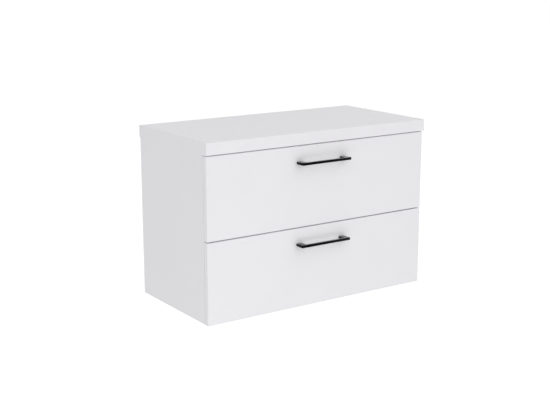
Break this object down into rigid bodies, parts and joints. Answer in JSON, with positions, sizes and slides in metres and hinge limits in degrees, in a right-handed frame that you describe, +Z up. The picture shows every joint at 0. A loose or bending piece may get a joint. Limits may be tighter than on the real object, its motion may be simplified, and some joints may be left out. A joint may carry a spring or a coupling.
{
  "type": "floating vanity",
  "caption": "Wall-hung bathroom vanity with a plain worktop and full-extension drawers with black bar handles.",
  "frame": {"origin": "on the wall plane, in the middle of the four wall screws", "axes": "+X to the right of someone facing the fronts, +Y into the wall, +Z up; the fronts face -Y"},
  "size_m": [0.806, 0.426, 0.537],
  "materials": {
    "white_lacquered_board": "fibreboard with a smooth white satin lacquer",
    "white_melamine_board": "chipboard faced with fine-textured white melamine",
    "grey_drawer_board": "board wrapped in light grey foil with a faint linen grain",
    "black_painted_metal": "flat bar with a smooth satin black paint",
    "galvanised_steel": "cold-rolled steel with bright zinc",
    "zinc_plated_fastener": "turned or cast, blue zinc plated",
    "beech_dowel": "fluted beech",
    "white_moulded_plastic": "injection moulded, fine spark texture",
    "clear_rubber": "soft translucent rubber",
    "bearing_steel": "ground bearing balls in a pressed steel strip"
  },
  "bodies": {
    "root": {"worktop": "white_lacquered_board", "left_side_panel": "white_lacquered_board", "right_side_panel": "white_lacquered_board", "bottom_panel": "white_melamine_board", "front_top_rail": "white_melamine_board", "rear_top_rail": "white_melamine_board", "hanging_rail": "white_melamine_board", "lower_back_rail": "white_melamine_board", "cam_locks": "zinc_plated_fastener", "cam_bolts": "zinc_plated_fastener", "wooden_dowels": "beech_dowel", "worktop_screws": "zinc_plated_fastener", "front_buffers": "clear_rubber", "left_hanger_housing": "white_moulded_plastic", "right_hanger_housing": "white_moulded_plastic", "left_hanger_hook": "galvanised_steel", "right_hanger_hook": "galvanised_steel", "hanger_adjusting_screws": "zinc_plated_fastener", "hanger_cover_caps": "white_moulded_plastic", "wall_plates": "galvanised_steel", "upper_left_runner_channel": "galvanised_steel", "upper_right_runner_channel": "galvanised_steel", "lower_left_runner_channel": "galvanised_steel", "lower_right_runner_channel": "galvanised_steel", "runner_channel_screws": "zinc_plated_fastener"},
    "upper_drawer": {"upper_drawer_front": "white_lacquered_board", "upper_handle": "black_painted_metal", "upper_handle_screws": "zinc_plated_fastener", "upper_box_left_side": "grey_drawer_board", "upper_box_right_side": "grey_drawer_board", "upper_box_front": "grey_drawer_board", "upper_box_backs": "grey_drawer_board", "upper_box_bottom": "grey_drawer_board", "upper_trap_surround": "white_moulded_plastic", "upper_front_screws": "zinc_plated_fastener", "upper_box_dowels": "beech_dowel", "upper_left_runner_slide": "galvanised_steel", "upper_right_runner_slide": "galvanised_steel", "upper_runner_slide_screws": "zinc_plated_fastener"},
    "upper_runner_middles": {"upper_left_runner_middle": "galvanised_steel", "upper_right_runner_middle": "galvanised_steel"},
    "upper_outer_balls": {"upper_outer_ball_retainers": "bearing_steel"},
    "upper_inner_balls": {"upper_inner_ball_retainers": "bearing_steel"},
    "lower_drawer": {"lower_drawer_front": "white_lacquered_board", "lower_handle": "black_painted_metal", "lower_handle_screws": "zinc_plated_fastener", "lower_box_left_side": "grey_drawer_board", "lower_box_right_side": "grey_drawer_board", "lower_box_front": "grey_drawer_board", "lower_box_back": "grey_drawer_board", "lower_box_bottom": "grey_drawer_board", "lower_front_screws": "zinc_plated_fastener", "lower_box_dowels": "beech_dowel", "lower_left_runner_slide": "galvanised_steel", "lower_right_runner_slide": "galvanised_steel", "lower_runner_slide_screws": "zinc_plated_fastener"},
    "lower_runner_middles": {"lower_left_runner_middle": "galvanised_steel", "lower_right_runner_middle": "galvanised_steel"},
    "lower_outer_balls": {"lower_outer_ball_retainers": "bearing_steel"},
    "lower_inner_balls": {"lower_inner_ball_retainers": "bearing_steel"}
  },
  "joints": [
    {"name": "upper_drawer_slide", "type": "slide", "parent": "root", "child": "upper_drawer", "axis": [0, -1, 0], "range_m": [0, 0.3]},
    {"name": "upper_runner_middles_slide", "type": "slide", "parent": "root", "child": "upper_runner_middles", "axis": [0, -1, 0], "range_m": [0, 0.15]},
    {"name": "upper_outer_balls_slide", "type": "slide", "parent": "root", "child": "upper_outer_balls", "axis": [0, -1, 0], "range_m": [0, 0.075]},
    {"name": "upper_inner_balls_slide", "type": "slide", "parent": "root", "child": "upper_inner_balls", "axis": [0, -1, 0], "range_m": [0, 0.225]},
    {"name": "lower_drawer_slide", "type": "slide", "parent": "root", "child": "lower_drawer", "axis": [0, -1, 0], "range_m": [0, 0.3]},
    {"name": "lower_runner_middles_slide", "type": "slide", "parent": "root", "child": "lower_runner_middles", "axis": [0, -1, 0], "range_m": [0, 0.15]},
    {"name": "lower_outer_balls_slide", "type": "slide", "parent": "root", "child": "lower_outer_balls", "axis": [0, -1, 0], "range_m": [0, 0.075]},
    {"name": "lower_inner_balls_slide", "type": "slide", "parent": "root", "child": "lower_inner_balls", "axis": [0, -1, 0], "range_m": [0, 0.225]}
  ],
  "couplings": [
    {"joint": "upper_runner_middles_slide", "follows": "upper_drawer_slide", "ratio": 0.5},
    {"joint": "upper_outer_balls_slide", "follows": "upper_drawer_slide", "ratio": 0.25},
    {"joint": "upper_inner_balls_slide", "follows": "upper_drawer_slide", "ratio": 0.75},
    {"joint": "lower_runner_middles_slide", "follows": "lower_drawer_slide", "ratio": 0.5},
    {"joint": "lower_outer_balls_slide", "follows": "lower_drawer_slide", "ratio": 0.25},
    {"joint": "lower_inner_balls_slide", "follows": "lower_drawer_slide", "ratio": 0.75}
  ]
}
